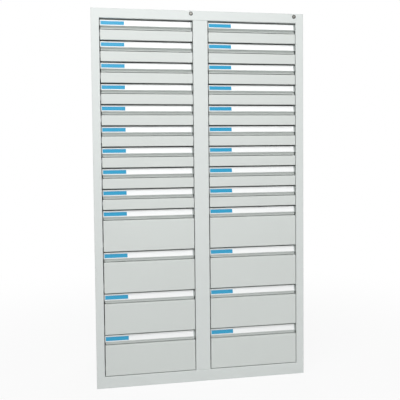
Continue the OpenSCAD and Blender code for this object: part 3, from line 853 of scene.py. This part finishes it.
edge_x = stile_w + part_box("carcass")[0].x / MM
top_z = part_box("carcass")[1].z / MM
UPSIDE_DOWN = Matrix.Scale(-1, 4, (0, 0, 1))
left_welds = joined([(corner_weld(bottom_rail_h), shift(edge_x, front_y)),
                     (corner_weld(top_rail_h), shift(edge_x, front_y, top_z) @ UPSIDE_DOWN)])
corner_welds = joined([(left_welds, Matrix()), (left_welds, FLIP_X)])
piece("corner_welds", corner_welds, frame_paint, "cabinet", "cabinet_paint")
print("corner welds at", round(edge_x), "mm")

# %% [markdown]
# ## Floor
# A plain pale floor carries the cabinet's soft shadow. Only the camera sees part of its white as
# its own light, so that the ground is pale without more light on the object, and further out
# that part grows until floor and background meet.

# %% Pale floor
floor_reach, floor_near, floor_far = 14.0, 0.8, 3.0     # metres from the cabinet's middle
white_near, white_far = 0.90, 1.0                       # share of the floor's own white


def floor_material():
    material = bpy.data.materials.new("pale_floor")
    material.use_nodes = True
    tree = material.node_tree
    tree.nodes.clear()
    place = add(tree, "ShaderNodeTexCoord").outputs["Object"]
    away = add(tree, "ShaderNodeVectorMath", {0: place}, operation="LENGTH").outputs["Value"]
    share = add(tree, "ShaderNodeMapRange", {
        "Value": away, "From Min": floor_near, "From Max": floor_far,
        "To Min": white_near, "To Max": white_far}, interpolation_type="SMOOTHSTEP")
    seen = add(tree, "ShaderNodeLightPath").outputs["Is Camera Ray"]
    mixed = add(tree, "ShaderNodeMath", {0: seen, 1: share.outputs["Result"]}, operation="MULTIPLY")
    lit = add(tree, "ShaderNodeBsdfDiffuse", {"Color": linear("#D4D4D4")})
    white = add(tree, "ShaderNodeEmission", {"Color": linear("#FFFFFF"), "Strength": 1.0})
    both = add(tree, "ShaderNodeMixShader", {
        0: mixed.outputs["Value"], 1: lit.outputs["BSDF"], 2: white.outputs["Emission"]})
    add(tree, "ShaderNodeOutputMaterial", {"Surface": both.outputs["Shader"]})
    return material


floor_mesh = bpy.data.meshes.new("floor")
floor_mesh.from_pydata([(x * floor_reach, y * floor_reach, 0) for x, y in
                        ((-1, -1), (1, -1), (1, 1), (-1, 1))], [], [(0, 1, 2, 3)])
floor_mesh.materials.append(floor_material())
floor = bpy.data.objects.new("floor", floor_mesh)
bpy.context.scene.collection.objects.link(floor)

# %% [markdown]
# ## Light
# A soft box high in front and to the left is the key. It lights the upper drawers most, and the
# sloping labels more than the upright panels. A weaker box in front, at chest height, lights the
# lower drawers, one behind lights the back for the other views, and the world fills the rest. The
# world is plain white only to the camera, to reflections and through clear parts.

# %% Lamps and world
def soft_box(name, at, aim, size, power):
    """A square lamp that looks at a point, with its size in metres and its power in watts."""
    lamp = bpy.data.lights.new(name, "AREA")
    lamp.size = size
    lamp.energy = power
    holder = bpy.data.objects.new(name, lamp)
    holder.location = at
    holder.rotation_euler = (Vector(aim) - Vector(at)).to_track_quat("-Z", "Y").to_euler()
    bpy.context.scene.collection.objects.link(holder)


def world_light(ambient):
    world = bpy.data.worlds.new("studio")
    bpy.context.scene.world = world
    world.use_nodes = True
    tree = world.node_tree
    tree.nodes.clear()
    path = add(tree, "ShaderNodeLightPath").outputs
    seen = add(tree, "ShaderNodeMath", {0: path["Is Camera Ray"], 1: path["Is Glossy Ray"]},
               operation="MAXIMUM")
    clear = add(tree, "ShaderNodeMath", {0: seen.outputs[0], 1: path["Is Transmission Ray"]},
                operation="MAXIMUM")
    strength = add(tree, "ShaderNodeMapRange", {
        "Value": clear.outputs[0], "To Min": ambient, "To Max": 1.0})
    sky = add(tree, "ShaderNodeBackground", {
        "Color": linear("#FFFFFF"), "Strength": strength.outputs["Result"]})
    add(tree, "ShaderNodeOutputWorld", {"Surface": sky.outputs[0]})


soft_box("key", at=(-1.0, -2.2, 4.6), aim=(0, 0, 1.2), size=2.0, power=98)
soft_box("fill", at=(0.4, -4.5, 1.5), aim=(0, 0, 1.0), size=2.5, power=42)
soft_box("rear", at=(0.8, 3.6, 2.6), aim=(0, 0, 1.0), size=2.4, power=60)
world_light(ambient=0.39)
bpy.context.scene.view_settings.view_transform = "Standard"

# %% [markdown]
# ## Camera
# The camera stands in front of the left edge at chest height and looks a little to the right and
# down, so that the left side of the cabinet appears taller. No side panel shows, because the lens
# lies in the plane of the left one. A small shift of the lens puts the cabinet in the middle of
# the picture while the camera itself looks down less, so that upright lines lean less.

# %% Camera
lens = bpy.data.cameras.new("camera")
lens.lens = 53.42                                   # focal length, in millimetres
lens.shift_y = -0.06                                # in picture widths
camera = bpy.data.objects.new("camera", lens)
camera_turn = (87.403, 0.554, -10.187)              # degrees about X, Y and Z
camera.location = (-0.558, -3.3125, 1.2345)
camera.rotation_euler = Euler([math.radians(a) for a in camera_turn])
bpy.context.scene.collection.objects.link(camera)
bpy.context.scene.camera = camera
